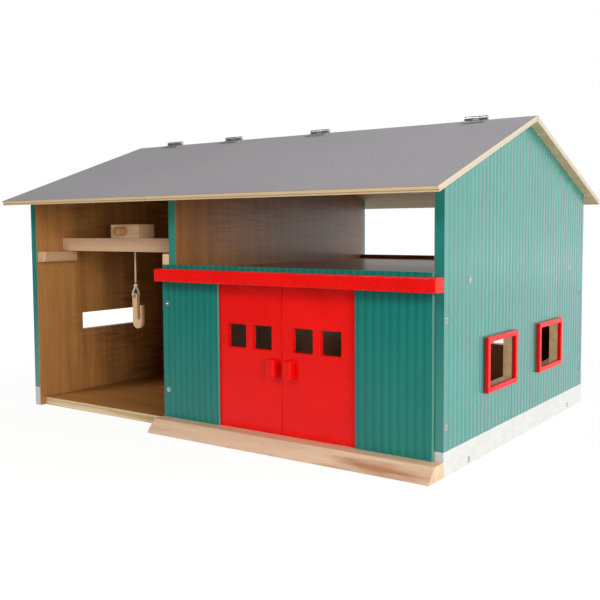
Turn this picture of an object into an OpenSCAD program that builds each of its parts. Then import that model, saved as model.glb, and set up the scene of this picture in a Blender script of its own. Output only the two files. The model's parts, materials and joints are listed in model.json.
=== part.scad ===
// Wooden toy barn: a garage with two sliding door leaves under an open loft, an open bay
// with a small rope crane, and a roof whose front slope lifts as two lids on ridge hinges.
// Millimetres. X runs along the front from left to right, Y from front to back, Z up,
// with the origin on the ground under the middle of the roof.

/* [Building] */
// Width over the two gable walls
barn_w = 526; // [510:2:580]
// Depth of the gable walls
barn_d = 360; // [340:2:400]
// Height of the ridge
ridge_z = 311; // [300:1:340]
// Slope of the roof in degrees
roof_pitch = 19.85; // [17:0.05:22]
// Thickness of wall, floor and loft boards
board = 9; // [8:0.5:10]
// Height of the painted plinth band
plinth_h = 21; // [16:1:26]
// Inside width of the open bay
bay_w = 211; // [190:1:225]
// Top of the loft floor
loft_z = 163.5; // [158:0.5:170]

/* [Roof] */
// Thickness of the roof boards
roof_t = 5; // [4:0.5:6]
// Overhang past the walls at the front and the back
eave = 30; // [20:1:40]
// Overhang past the gables
verge = 9.5; // [6:0.5:14]
// Play between a closed lid and the walls that carry it
lid_gap = 0.3; // [0.2:0.1:0.8]
// Distance of the seam between the lids from the partition
seam_offset = 3; // [2:0.5:8]
// Gap between the lids, and between them and the rear slope
seam_gap = 1; // [0.8:0.1:2]

/* [Cladding] */
// Pitch of the ribs pressed in the outer faces
rib_pitch = 8; // [6:0.5:10]
// Depth of the ribs
rib_depth = 0.5; // [0.3:0.1:1]
// Width of a crest
rib_crest = 3; // [2:0.2:3.6]
// Width of a slanted flank
rib_flank = 1.2; // [0.6:0.1:1.4]
// Thickness of the front sheet
sheet_t = 3; // [2.4:0.2:4]
// How far the sheet reaches past the partition
sheet_lap = 6.5; // [5:0.5:8]
// How far the sheet stands above the loft floor
sheet_lip = 4; // [2:0.5:8]

/* [Sliding doors] */
// Width of the doorway
doorway_w = 157; // [145:1:165]
// How far the doorway's middle lies to the left of the garage's middle
doorway_shift = 8.5; // [4:0.5:10]
// Height of the doorway's top edge above the ground
doorway_z = 151; // [146:1:152]
// How far the leaves meet to the left of the doorway's middle
meet_shift = 3; // [0:0.5:4]
// Thickness of a leaf
door_t = 5.4; // [4.4:0.2:6.4]
// Lap of a leaf behind the doorway's edge
door_lap = 5; // [4.5:0.5:7]
// Gap between the closed leaves
door_gap = 0.6; // [0.4:0.1:1]
// Play of a leaf in its channel
door_play = 0.5; // [0.3:0.1:0.8]
// Width of a door light
light_w = 23; // [18:0.5:25]
// Height of a door light
light_h = 22.5; // [16:0.5:26]
// Bottom edge of the door lights
light_z = 90.5; // [86:0.5:100]
// Distance of the first light from the meeting edge
light_inset = 11.5; // [9:0.5:13]
// Distance between the two lights of a leaf
light_gap = 7.5; // [6:0.5:12]
// Width of a door handle
grip_w = 9.5; // [8:0.5:11]
// How far a handle stands out
grip_out = 7; // [5:0.5:9]
// Height of a handle
grip_h = 17; // [12:1:20]
// Bottom edge of the handles
grip_z = 66; // [56:1:68]
// Distance of a handle's middle from the meeting edge
grip_inset = 9.5; // [8:0.5:12]

/* [Rail and threshold] */
// Height of the front rail
rail_h = 12.4; // [10:0.2:14]
// Bottom edge of the front rail
rail_z = 151.2; // [149:0.2:153]
// How far the rail stands out from the gables' front edges
rail_out = 14.2; // [10:0.2:18]
// Height of the threshold
sill_h = 13; // [11:0.5:16]
// Width of the threshold's flat top
sill_flat = 15; // [10:1:20]
// How far the threshold reaches forward
sill_reach = 25; // [22:1:28]
// Thickness of the threshold's tongue under the leaves
sill_tongue = 3; // [2:0.5:4]
// Width of the left door post
left_post_w = 13; // [9.5:0.5:16]
// Depth of the top guide behind the leaves
guide_d = 6; // [4:0.5:10]
// Height of the top guide
guide_h = 10; // [6:0.5:14]

/* [Windows] */
// Width of a wall window
window_w = 60; // [50:1:62]
// Height of a wall window
window_h = 40.5; // [34:0.5:46]
// Bottom edge of the wall windows
window_z = 61; // [54:0.5:70]
// Distance of the front side window from the front edge
window_front = 85.5; // [76:0.5:95]
// Distance of the rear side window from the front edge
window_rear = 215; // [205:1:225]
// Distance of the rear wall's windows from the walls beside them
window_side = 42; // [36:1:60]
// Width of a window frame's bars
frame_w = 5; // [4:0.5:7]
// How far a window frame stands out
frame_t = 4; // [3:0.5:6]
// Distance of the left gable's slot from the front edge
slot_front = 63; // [55:1:70]
// Length of the slot
slot_w = 88; // [70:1:96]
// Bottom edge of the slot
slot_z = 82.5; // [76:0.5:90]
// Height of the slot
slot_h = 20; // [14:1:26]

/* [Crane] */
// Thickness of the cleats that carry the crane beam
cleat = 12; // [10:0.5:14]
// Length of the cleats
cleat_len = 47; // [44:1:60]
// Bottom edge of the cleats
cleat_z = 166; // [162:0.5:170]
// Depth of the crane beam
beam_d = 13; // [12:0.5:16]
// Height of the crane beam
beam_h = 15.2; // [12:0.2:18]
// Play of the crane beam on its cleats
beam_play = 0.3; // [0.2:0.1:0.6]
// Play between the crane beam's ends and the walls
beam_end = 0.6; // [0.4:0.1:1.5]
// Width of the winder block
block_w = 44.5; // [40:0.5:50]
// Depth of the winder block, which reaches out behind the beam
block_d = 23; // [22:0.5:28]
// Height of the winder block
block_h = 15; // [14:0.5:18]
// Distance of the block's middle to the right of the open bay's middle
block_shift = 2.5; // [0:0.5:6]
// Diameter of the winder shaft
shaft_d = 6; // [5:0.5:6.5]
// Radial play of the winder shaft in its block
shaft_play = 0.06; // [0.04:0.01:0.1]
// Diameter of the winder knob
knob_d = 9.5; // [8.5:0.5:11]
// Length of the winder knob
knob_len = 13; // [10:0.5:15]
// Width of the notch for the rope's turns, in the back of the block
notch_w = 18; // [16:0.5:20]
// Diameter of the shaft's end disc
disc_d = 11; // [10:0.5:12]
// Thickness of the shaft's end disc
disc_t = 1.8; // [1.4:0.1:2]

/* [Hook] */
// Width of the hook
hook_w = 15; // [14.5:0.5:18]
// Height of the hook
hook_h = 40; // [38:1:44]
// Thickness of the hook
hook_t = 4.5; // [4:0.5:6]
// Width of the hook's shank
shank_w = 7.5; // [7:0.5:8]
// Width of the hook's mouth
mouth_w = 4.5; // [4.25:0.25:5]
// Distance of the hook's top below the winder's axis
hook_drop = 70; // [60:1:74]

/* [Hinges] */
// Width of a ridge hinge
hinge_w = 25; // [20:1:30]
// Length of a hinge leaf down the slope
leaf_l = 12; // [11:0.5:16]
// Thickness of a hinge leaf
leaf_t = 1; // [0.8:0.1:1.2]
// Diameter of a hinge knuckle
knuckle_d = 4; // [3.6:0.1:4.4]
// Diameter of a hinge pin
pin_d = 2; // [1.6:0.1:2.2]
// Radial play of a hinge pin in the moving knuckle
pin_play = 0.05; // [0.03:0.01:0.08]
// Distance of a hinge's middle from the end of its lid
hinge_inset = 63.5; // [50:0.5:80]

/* [Screws] */
// Diameter of a wall screw's head
head_d = 5.6; // [4.6:0.2:6.4]
// Diameter of a wall screw's shank
shank_d = 3; // [2.4:0.2:3.2]
// Length of a wall screw
screw_len = 22; // [18:1:26]
// Distance of the floor's and loft's screws from the gables' front and back edges
screw_inset = 49; // [30:1:60]
// Diameter of a hinge screw's head
small_head_d = 3.8; // [3.4:0.2:4.2]
// Diameter of a hinge screw's shank
small_shank_d = 1.8; // [1.4:0.1:2]
// Length of a hinge screw
small_len = 4.6; // [4:0.1:4.8]

/* [Hidden] */

// Colours as the object shows them
teal = "#1f8d7b";
red = "#e0201a";
veneer = "#a87848";
beech = "#d9b08c";
roof_grey = "#8f8d8f";
steel = "#b8b8b4";
cord = "#e3d3bd";

// Faces of the walls
x_left = -barn_w / 2;
x_right = barn_w / 2;
x_left_in = x_left + board;
x_right_in = x_right - board;
y_front = -barn_d / 2;
y_back = barn_d / 2;
y_rear_in = y_back - board;
part_left = x_left_in + bay_w;
part_right = part_left + board;
loft_under = loft_z - board;

// Roof planes
slope = tan(roof_pitch);
roof_drop = roof_t / cos(roof_pitch);
lid_drop = lid_gap / cos(roof_pitch);
seam_x = part_left - seam_offset;
function under_z(y) = ridge_z - abs(y) * slope - roof_drop;

// Door channel behind the front sheet
channel_d = door_t + 2 * door_play;
doorway_mid = (part_right + x_right_in) / 2 - doorway_shift;
doorway_left = doorway_mid - doorway_w / 2;
doorway_right = doorway_mid + doorway_w / 2;
meet_x = doorway_mid - meet_shift;
door_w = doorway_w / 2 + door_lap;
door_y = y_front + door_play;
door_bottom = sill_tongue + 0.3;
door_top = loft_under - door_play;
sheet_left = part_left - sheet_lap;

// Crane
beam_front = y_front + 1 + cleat_len - beam_d;
beam_back = beam_front + beam_d;
beam_bottom = cleat_z + cleat + beam_play;
beam_top = beam_bottom + beam_h;
block_top = beam_top + block_h;
block_x = (x_left_in + part_left) / 2 + block_shift;
winder_x = block_x;
winder_z = (beam_top + block_top) / 2;
knob_gap = 0.5;

// The rope hangs from the shaft's left side, behind the beam; its turns lie in front of it
rope_d = 2.2;
rope_x = winder_x - shaft_d / 2 - rope_d / 2 - 0.4;
rope_y = beam_back + 6;
notch_front = beam_back - 3;
winding_r = shaft_d / 2 + rope_d / 2 + 0.1;
winding_turns = 2;
winding_start = notch_front + rope_d / 2 + 0.3;
winding_pitch = (rope_y - rope_d - 0.4 - winding_start) / winding_turns;
hook_top = winder_z - hook_drop;
eye_z = hook_top - 4;
knot_r = 2.9;
knot_z = hook_top + knot_r + 5.3;
rope_points = [[rope_x, rope_y, winder_z], [rope_x, rope_y, knot_z + knot_r + 0.2]];
// The loop leaves the knot in front, goes through the hook's eye and comes back behind:
// shares of its half width, and heights above the hook's top
loop_w = hook_t / 2 + 2.3;
loop_side = [[0.13, 6.2], [0.51, 4.4], [0.85, 1.6], [1, -1.2], [0.89, -3.4], [0.55, -4.1]];
loop_points = concat(
    [for (p = loop_side) [rope_x, rope_y - loop_w * p.x, hook_top + p.y]],
    [[rope_x, rope_y, hook_top - 4.3]],
    [for (i = [5 : -1 : 0]) [rope_x, rope_y + loop_w * loop_side[i].x,
        hook_top + loop_side[i].y]]
);

// Hinges
axis_h = knuckle_d / 2 + 0.3;
axis_z = ridge_z + axis_h;
notch_s = knuckle_d / 2 + 0.4;
knuckle_gap = 0.4;
hinge_x = [
    x_left - verge + hinge_inset, seam_x - seam_gap / 2 - hinge_inset,
    seam_x + seam_gap / 2 + hinge_inset, x_right + verge - hinge_inset
];
leaf_screw_x = hinge_w * 0.28;
leaf_screw_s = (leaf_l + notch_s) / 2;
fit = 0.05;

module span(x0, x1, y0, y1, z0, z1) {
    translate([x0, y0, z0]) cube([x1 - x0, y1 - y0, z1 - z0]);
}

// Extrudes a drawing in Y and Z from x0 to x1
module along_x(x0, x1) {
    translate([x0, 0, 0]) rotate([90, 0, 90]) linear_extrude(height = x1 - x0) children();
}

// Extrudes a drawing in X and Z from y0 to y1
module along_y(y0, y1) {
    translate([0, y1, 0]) rotate([90, 0, 0]) linear_extrude(height = y1 - y0) children();
}

// Side view of a wall that runs from front to back under both slopes
function wall_outline(y0, y1, z0) = [
    [y0, z0], [y1, z0], [y1, under_z(y1)], [0, under_z(0)],
    [0, under_z(0) - lid_drop], [y0, under_z(y0) - lid_drop]
];

// Plan of a ribbed board: flat back along y = 0, crests at y = t
function ribbed_plan(len, t) =
    let (n = floor((len - rib_crest) / rib_pitch), pad = (len - n * rib_pitch) / 2)
    concat(
        [[0, 0], [0, t]],
        [for (i = [0 : n - 1]) let (x = pad + i * rib_pitch) each [
            [x + rib_crest / 2, t],
            [x + rib_crest / 2 + rib_flank, t - rib_depth],
            [x + rib_pitch - rib_crest / 2 - rib_flank, t - rib_depth],
            [x + rib_pitch - rib_crest / 2, t]
        ]],
        [[len, t], [len, 0]]
    );

// Countersunk screw with its head's top at z = 0; grow widens it for the matching hole
module screw(head, shank, len, grow = 0) {
    h = head / 2 + grow;
    s = shank / 2 + grow;
    rim = 0.4;
    cone = rim + (head - shank) / 2;
    top = grow > 0 ? 1 : 0;
    rotate_extrude($fn = 32) polygon([
        [0, top], [h, top], [h, -rim], [s, -cone], [s, -len + s], [0, -len - grow]
    ]);
}

module wall_screw(grow = 0) {
    screw(head_d, shank_d, screw_len, grow);
}

// Heights of the shorter screws in the two door posts
post_screws = [41, 128.5];

// Depths and heights of the screws through both gables, and of those in one gable only
rear_screw_y = y_back - board / 2;
gable_screws = [
    [rear_screw_y, 40], [rear_screw_y, 128],
    [y_front + screw_inset, board / 2], [y_back - screw_inset, board / 2]
];
loft_screws = [
    [y_front + screw_inset, loft_z - board / 2], [y_back - screw_inset, loft_z - board / 2]
];
eaves_screw = [rear_screw_y, under_z(y_back) - 25];

module all_wall_screws(grow = 0) {
    for (p = concat(gable_screws, loft_screws))
        translate([x_right, p.x, p.y]) rotate([0, 90, 0]) wall_screw(grow);
    for (p = concat(gable_screws, [eaves_screw]))
        translate([x_left, p.x, p.y]) rotate([0, -90, 0]) wall_screw(grow);
    for (z = post_screws) {
        translate([x_right, y_front + board / 2, z]) rotate([0, 90, 0])
            screw(head_d, shank_d, 2 * board - 1, grow);
        translate([part_left, y_front - sheet_t, z]) rotate([90, 0, 0])
            screw(head_d, shank_d, sheet_t + board - 1, grow);
    }
}

module wall_screws() {
    color(steel) all_wall_screws();
}

// Right gable wall without its openings; the left one is its mirror image
module gable_wall() {
    intersection() {
        along_x(x_right_in, x_right) polygon(wall_outline(y_front, y_back, 0));
        union() {
            span(x_right_in, x_right, y_front, y_back, 0, plinth_h);
            translate([x_right_in, y_front, plinth_h]) linear_extrude(height = ridge_z)
                polygon([for (p = ribbed_plan(barn_d, board)) [p.y, p.x]]);
        }
    }
}

module floor_board() {
    color(veneer) difference() {
        span(x_left_in, x_right_in, y_front + channel_d, y_rear_in, 0, board);
        all_wall_screws(fit);
    }
}

module left_gable() {
    color(teal) difference() {
        mirror([1, 0, 0]) gable_wall();
        span(x_left - 1, x_left_in + 1, y_front + slot_front, y_front + slot_front + slot_w,
            slot_z, slot_z + slot_h);
        all_wall_screws(fit);
    }
}

module side_window_hole(from_front) {
    span(x_right_in - 1, x_right + frame_t + 1, y_front + from_front,
        y_front + from_front + window_w, window_z, window_z + window_h);
}

module right_gable() {
    color(teal) difference() {
        gable_wall();
        side_window_hole(window_front);
        side_window_hole(window_rear);
        all_wall_screws(fit);
    }
}

module side_window_frame(from_front) {
    color(red) difference() {
        span(x_right, x_right + frame_t, y_front + from_front - frame_w,
            y_front + from_front + window_w + frame_w,
            window_z - frame_w, window_z + window_h + frame_w);
        side_window_hole(from_front);
    }
}

module side_window_frame_front() {
    side_window_frame(window_front);
}

module side_window_frame_rear() {
    side_window_frame(window_rear);
}

// The partition's lower front edge stands back so that the left leaf can pass
module partition_wall() {
    color(veneer) difference() {
        along_x(part_left, part_right) polygon(wall_outline(y_front, y_rear_in, board));
        span(part_left - 1, part_right + 1, y_front - 1, y_front + board, 0, loft_under);
    }
}

// Ribbed rear wall board with its plain plinth
module rear_board(x0, x1, top) {
    span(x0, x1, y_rear_in, y_back, 0, plinth_h);
    translate([x0, y_rear_in, plinth_h]) linear_extrude(height = top - plinth_h)
        polygon(ribbed_plan(x1 - x0, board));
}

module rear_wall_tall() {
    color(teal) difference() {
        intersection() {
            rear_board(x_left_in, part_right, ridge_z);
            along_x(x_left_in, part_right) polygon([
                [y_rear_in, 0], [y_back, 0], [y_back, under_z(y_back)],
                [y_rear_in, under_z(y_rear_in)]
            ]);
        }
        all_wall_screws(fit);
    }
}

rear_window_x = [part_right + window_side, x_right_in - window_side - window_w];

module rear_window_hole(x0) {
    span(x0, x0 + window_w, y_rear_in - 1, y_back + frame_t + 1, window_z,
        window_z + window_h);
}

module rear_wall_low() {
    color(teal) difference() {
        rear_board(part_right, x_right_in, loft_z + 5);
        for (x0 = rear_window_x) rear_window_hole(x0);
        all_wall_screws(fit);
    }
}

module rear_window_frame(x0) {
    color(red) difference() {
        span(x0 - frame_w, x0 + window_w + frame_w, y_back, y_back + frame_t,
            window_z - frame_w, window_z + window_h + frame_w);
        rear_window_hole(x0);
    }
}

module rear_window_frame_left() {
    rear_window_frame(rear_window_x[0]);
}

module rear_window_frame_right() {
    rear_window_frame(rear_window_x[1]);
}

module loft_floor() {
    color(veneer) difference() {
        span(part_right, x_right_in, y_front, y_rear_in, loft_under, loft_z);
        all_wall_screws(fit);
    }
}

// Drawing plane of one slope: x runs down the slope from the ridge, y stands off the board
module on_slope() {
    translate([0, ridge_z]) rotate(-roof_pitch) children();
}

slope_len = (y_back + eave) / cos(roof_pitch);

// Section of the rear slope's board, cut plumb at the ridge and square at the eave
module roof_section() {
    intersection() {
        on_slope() translate([-roof_t, -roof_t]) square([slope_len + roof_t, roof_t]);
        translate([seam_gap / 2, 0]) square([y_back + eave, ridge_z]);
    }
}

// Places children on the rear slope at each screw of the hinge at x
module at_leaf_screws(x) {
    for (dx = [-leaf_screw_x, leaf_screw_x])
        translate([x + dx, 0, ridge_z]) rotate([-roof_pitch, 0, 0])
            translate([0, leaf_screw_s, leaf_t]) children();
}

module leaf_screw(grow = 0) {
    screw(small_head_d, small_shank_d, small_len, grow);
}

module rear_leaf_screws(which, grow = 0) {
    for (i = which) at_leaf_screws(hinge_x[i]) leaf_screw(grow);
}

module rear_roof() {
    color(roof_grey) difference() {
        along_x(x_left - verge, x_right + verge) roof_section();
        rear_leaf_screws([0, 1, 2, 3], fit);
    }
}

module lid(x0, x1, which) {
    color(roof_grey) mirror([0, 1, 0]) difference() {
        along_x(x0, x1) roof_section();
        rear_leaf_screws(which, fit);
    }
}

module roof_lid_left() {
    lid(x_left - verge, seam_x - seam_gap / 2, [0, 1]);
}

module roof_lid_right() {
    lid(seam_x + seam_gap / 2, x_right + verge, [2, 3]);
}

// One leaf on the rear slope; knuckles lists its barrel pieces as pairs along X
module hinge_leaf(x, knuckles, bore) {
    color(steel) difference() {
        union() {
            along_x(x - hinge_w / 2, x + hinge_w / 2)
                on_slope() translate([notch_s, 0]) square([leaf_l - notch_s, leaf_t]);
            for (k = knuckles) along_x(x + k[0], x + k[1]) {
                translate([0, axis_z]) circle(d = knuckle_d, $fn = 32);
                on_slope() square([notch_s + 1, leaf_t]);
            }
        }
        translate([x - hinge_w, 0, axis_z]) rotate([0, 90, 0])
            cylinder(r = bore, h = 2 * hinge_w, $fn = 32);
        at_leaf_screws(x) leaf_screw(fit);
    }
}

module fixed_leaf(i) {
    side = hinge_w / 6 + knuckle_gap / 2;
    hinge_leaf(hinge_x[i], [[-hinge_w / 2, -side], [side, hinge_w / 2]], pin_d / 2 + 0.01);
}

module lid_leaf(i) {
    side = hinge_w / 6 - knuckle_gap / 2;
    mirror([0, 1, 0]) hinge_leaf(hinge_x[i], [[-side, side]], pin_d / 2 + pin_play);
}

module hinge_pin(i) {
    color(steel) translate([hinge_x[i] - hinge_w / 2, 0, axis_z]) rotate([0, 90, 0])
        cylinder(d = pin_d, h = hinge_w, $fn = 32);
}

module hinge_1_fixed_leaf() fixed_leaf(0);
module hinge_2_fixed_leaf() fixed_leaf(1);
module hinge_3_fixed_leaf() fixed_leaf(2);
module hinge_4_fixed_leaf() fixed_leaf(3);
module hinge_1_lid_leaf() lid_leaf(0);
module hinge_2_lid_leaf() lid_leaf(1);
module hinge_3_lid_leaf() lid_leaf(2);
module hinge_4_lid_leaf() lid_leaf(3);
module hinge_1_pin() hinge_pin(0);
module hinge_2_pin() hinge_pin(1);
module hinge_3_pin() hinge_pin(2);
module hinge_4_pin() hinge_pin(3);

module fixed_leaf_screws() {
    color(steel) rear_leaf_screws([0, 1, 2, 3]);
}

module left_lid_screws() {
    color(steel) mirror([0, 1, 0]) rear_leaf_screws([0, 1]);
}

module right_lid_screws() {
    color(steel) mirror([0, 1, 0]) rear_leaf_screws([2, 3]);
}

module front_sheet() {
    color(teal) difference() {
        translate([sheet_left, y_front, sill_h])
            linear_extrude(height = loft_z + sheet_lip - sill_h)
                polygon([for (p = ribbed_plan(x_right_in - sheet_left, sheet_t)) [p.x, -p.y]]);
        span(doorway_left, doorway_right, y_front - sheet_t - 1, y_front + 1,
            sill_h - 1, doorway_z);
        all_wall_screws(fit);
    }
}

// The rail bears on the sheet, and its right end reaches back to the gable's edge
module front_rail() {
    corner = 2;
    x0 = sheet_left - 1.5;
    y0 = y_front - rail_out;
    color(red) translate([0, 0, rail_z]) linear_extrude(height = rail_h) difference() {
        union() {
            translate([x0 + corner, y0]) square([x_right - x0 - 2 * corner, corner]);
            translate([x0, y0 + corner]) square([x_right - x0, rail_out - corner]);
            for (x = [x0 + corner, x_right - corner])
                translate([x, y0 + corner]) circle(r = corner, $fn = 32);
        }
        translate([x0 - 1, y_front - sheet_t]) square([x_right_in - x0 + 1, sheet_t + 1]);
    }
}

// Front view of the threshold: sloping nose, flat top and the tongue under the leaves
module threshold() {
    nose = [
        [y_front, 0], [y_front - sill_reach, 0], [y_front - sill_reach, 1],
        [y_front - sill_flat, sill_h], [y_front, sill_h]
    ];
    color(beech) {
        along_x(sheet_left - 2.5, x_right) polygon(nose);
        span(sheet_left - 2.5, x_right_in, y_front - sill_flat / 2, y_front + channel_d,
            0, sill_tongue);
    }
}

// Door post on the threshold's tongue, notched over the floor board's front edge
module door_post(x0, x1) {
    color(beech) difference() {
        span(x0, x1, y_front, y_front + board, sill_tongue, loft_under);
        span(x0 - 1, x1 + 1, y_front + channel_d, y_front + board + 1, 0, board);
        all_wall_screws(fit);
    }
}

module left_door_post() {
    door_post(sheet_left, sheet_left + left_post_w);
}

module right_door_post() {
    door_post(x_right_in - board, x_right_in);
}

module door_top_guide() {
    color(beech) span(part_right, x_right_in - board, y_front + channel_d,
        y_front + channel_d + guide_d, loft_under - guide_h, loft_under);
}

// Door leaf drawn to the right of its meeting edge at x = 0
module door_leaf() {
    grip_mid = grip_z + grip_h / 2;
    difference() {
        span(door_gap / 2, door_gap / 2 + door_w, door_y, door_y + door_t, door_bottom,
            door_top);
        for (i = [0, 1]) {
            x0 = door_gap / 2 + light_inset + i * (light_w + light_gap);
            span(x0, x0 + light_w, door_y - 1, door_y + door_t + 1, light_z,
                light_z + light_h);
        }
        translate([grip_inset, door_y + door_t, grip_mid]) grip_screw(fit);
    }
}

module grip_screw(grow = 0) {
    rotate([-90, 0, 0]) screw(head_d, shank_d, door_t + grip_out - 2, grow);
}

// Handle block with rounded front edges, in front of the leaf
module door_grip() {
    r = 1.5;
    x0 = grip_inset - grip_w / 2;
    y0 = door_y - grip_out;
    difference() {
        translate([0, 0, grip_z]) linear_extrude(height = grip_h) {
            translate([x0 + r, y0]) square([grip_w - 2 * r, grip_out]);
            translate([x0, y0 + r]) square([grip_w, grip_out - r]);
            for (x = [x0 + r, x0 + grip_w - r])
                translate([x, y0 + r]) circle(r = r, $fn = 24);
        }
        translate([grip_inset, door_y + door_t, grip_z + grip_h / 2]) grip_screw(fit);
    }
}

module left_side() {
    translate([meet_x, 0, 0]) mirror([1, 0, 0]) children();
}

module right_side() {
    translate([meet_x, 0, 0]) children();
}

module screw_in_leaf() {
    translate([grip_inset, door_y + door_t, grip_z + grip_h / 2]) grip_screw();
}

module door_left() {
    color(red) left_side() door_leaf();
}

module door_left_handle() {
    color(red) left_side() door_grip();
}

module door_left_screw() {
    color(steel) left_side() screw_in_leaf();
}

module door_right() {
    color(red) right_side() door_leaf();
}

module door_right_handle() {
    color(red) right_side() door_grip();
}

module door_right_screw() {
    color(steel) right_side() screw_in_leaf();
}

// Cleat on the left wall: its free lower edge and its front end are rounded
module cleat_shape(x0) {
    r = 3;
    y0 = y_front + 1;
    intersection() {
        along_y(y0, y0 + cleat_len) {
            translate([x0, cleat_z + r]) square([cleat, cleat - r]);
            translate([x0, cleat_z]) square([cleat - r, cleat]);
            translate([x0 + cleat - r, cleat_z + r]) circle(r = r, $fn = 32);
        }
        translate([0, 0, cleat_z]) linear_extrude(height = cleat) {
            translate([x0, y0 + r]) square([cleat, cleat_len - r]);
            translate([x0, y0]) square([cleat - r, cleat_len]);
            translate([x0 + cleat - r, y0 + r]) circle(r = r, $fn = 32);
        }
    }
}

module crane_cleat_left() {
    color(beech) cleat_shape(x_left_in);
}

module crane_cleat_right() {
    color(beech) translate([part_left, 0, 0]) mirror([1, 0, 0]) cleat_shape(0);
}

module crane_beam() {
    r = 3;
    x0 = x_left_in + beam_end;
    x1 = part_left - beam_end;
    color(beech) along_y(beam_front, beam_back) {
        translate([x0, beam_bottom + r]) square([x1 - x0, beam_h - r]);
        translate([x0 + r, beam_bottom]) square([x1 - x0 - 2 * r, beam_h]);
        for (x = [x0 + r, x1 - r])
            translate([x, beam_bottom + r]) circle(r = r, $fn = 32);
    }
}

// The block sits on the beam; the notch in its back leaves room for the rope and its turns
module winder_block() {
    color(beech) difference() {
        span(block_x - block_w / 2, block_x + block_w / 2, beam_front,
            beam_front + block_d, beam_top, block_top);
        span(winder_x - notch_w / 2, winder_x + notch_w / 2, notch_front,
            beam_front + block_d + 1, beam_top - 1, block_top + 1);
        translate([winder_x, beam_front - 1, winder_z]) rotate([-90, 0, 0])
            cylinder(d = shaft_d + 2 * shaft_play, h = beam_d + 2, $fn = 48);
    }
}

// Shaft along Y from the knob to the end disc
shaft_front = beam_front - knob_gap - knob_len + 2;
disc_y = rope_y + rope_d / 2 + 0.3;

module winder_shaft() {
    color(beech) translate([winder_x, shaft_front, winder_z]) rotate([-90, 0, 0])
        cylinder(d = shaft_d, h = disc_y + disc_t - shaft_front, $fn = 48);
}

// Turned knob with a rounded nose, bored to take the shaft
module winder_knob() {
    r = 2.5;
    k = knob_d / 2;
    color(beech) translate([winder_x, beam_front - knob_gap, winder_z]) rotate([90, 0, 0])
        rotate_extrude($fn = 48) difference() {
            union() {
                square([k, knob_len - r]);
                square([k - r, knob_len]);
                translate([k - r, knob_len - r]) circle(r = r, $fn = 32);
            }
            square([shaft_d / 2, knob_len - 2]);
            translate([-knob_d, 0]) square([knob_d, knob_len]);
        }
}

module winder_end_disc() {
    color(beech) translate([winder_x, disc_y, winder_z]) rotate([-90, 0, 0])
        difference() {
            cylinder(d = disc_d, h = disc_t, $fn = 48);
            translate([0, 0, -1]) cylinder(d = shaft_d, h = disc_t + 2, $fn = 48);
        }
}

// Rings of a tube along points, each square to the way the route runs there
function unit(v) = v / norm(v);
function along(p, i) =
    unit(p[min(i + 1, len(p) - 1)] - p[max(i - 1, 0)]);
function ring(p, i, r, side, up) =
    let (t = along(p, i), u = unit(cross(up, t)), v = cross(t, u))
    [for (k = [0 : side - 1]) p[i] + r * (cos(360 * k / side) * u + sin(360 * k / side) * v)];

module tube(p, r, up, side = 8) {
    n = len(p);
    polyhedron(
        points = [for (i = [0 : n - 1]) each ring(p, i, r, side, up)],
        faces = concat(
            [[for (k = [side - 1 : -1 : 0]) k]],
            [for (i = [0 : n - 2]) for (k = [0 : side - 1]) let (j = (k + 1) % side)
                each [
                    [i * side + k, i * side + j, (i + 1) * side + j],
                    [i * side + k, (i + 1) * side + j, (i + 1) * side + k]
                ]
            ],
            [[for (k = [0 : side - 1]) (n - 1) * side + k]]
        )
    );
}

// The turns on the shaft, between the block's front wall and the hanging rope
winding_steps = 14;
winding_route = [
    for (i = [0 : winding_turns * winding_steps])
        let (a = 360 * i / winding_steps)
        [
            winder_x + winding_r * cos(a),
            winding_start + winding_pitch * i / winding_steps,
            winder_z + winding_r * sin(a)
        ]
];

module rope_winding() {
    color(cord) tube(winding_route, rope_d / 2, [0, 1, 0]);
}

module hoist_rope() {
    color(cord) tube(rope_points, rope_d / 2, [0, 1, 0]);
}

module rope_knot() {
    color(cord) translate([rope_x, rope_y, knot_z]) sphere(r = knot_r, $fn = 24);
}

module rope_loop() {
    color(cord) tube(loop_points, rope_d / 2, [1, 0, 0]);
}

// Flat wooden hook: shank on the left under the rope, mouth open upwards on the right
module crane_hook() {
    r = hook_w / 2;
    x0 = rope_x - shank_w / 2;
    z0 = hook_top - hook_h;
    mouth_x = x0 + shank_w + mouth_w / 2;
    mouth_z = z0 + 10 + mouth_w / 2;
    tip_top = z0 + 26.5;
    eye_r = rope_d / 2 + 0.7;
    color(beech) difference() {
        along_y(rope_y - hook_t / 2, rope_y + hook_t / 2) difference() {
            union() {
                translate([x0, z0 + r]) square([shank_w, hook_h - r - shank_w / 2]);
                translate([x0 + shank_w / 2, hook_top - shank_w / 2])
                    circle(d = shank_w, $fn = 32);
                translate([x0 + r, z0 + r]) circle(r = r, $fn = 64);
                translate([x0, z0 + r]) square([hook_w, tip_top - z0 - r]);
            }
            translate([mouth_x, mouth_z]) circle(d = mouth_w, $fn = 32);
            translate([mouth_x - mouth_w / 2, mouth_z]) square([mouth_w, hook_h]);
        }
        translate([rope_x, rope_y - hook_t, eye_z]) rotate([-90, 0, 0])
            cylinder(r = eye_r, h = 2 * hook_t, $fn = 32);
    }
}

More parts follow.
